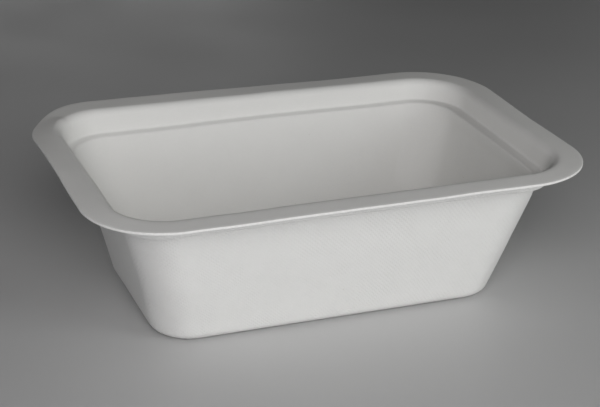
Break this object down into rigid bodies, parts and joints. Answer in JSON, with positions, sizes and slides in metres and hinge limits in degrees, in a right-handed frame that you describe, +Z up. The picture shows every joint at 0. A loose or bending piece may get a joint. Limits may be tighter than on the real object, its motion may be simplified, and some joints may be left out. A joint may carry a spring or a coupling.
{
  "type": "food tray",
  "caption": "Deep rectangular food tray pressed from plant fibre pulp, with sloping walls, a narrow ledge inside and a wide flat flange around its rounded mouth.",
  "frame": {"origin": "middle of the tray, on the underside of its floor", "axes": "+X along the long side, +Y along the short side, +Z up out of the mouth"},
  "size_m": [0.216, 0.145, 0.0645],
  "materials": {
    "pulp": "matt pressed fibre, screen grain outside"
  },
  "bodies": {
    "root": {"tray": "pulp"}
  },
  "joints": []
}
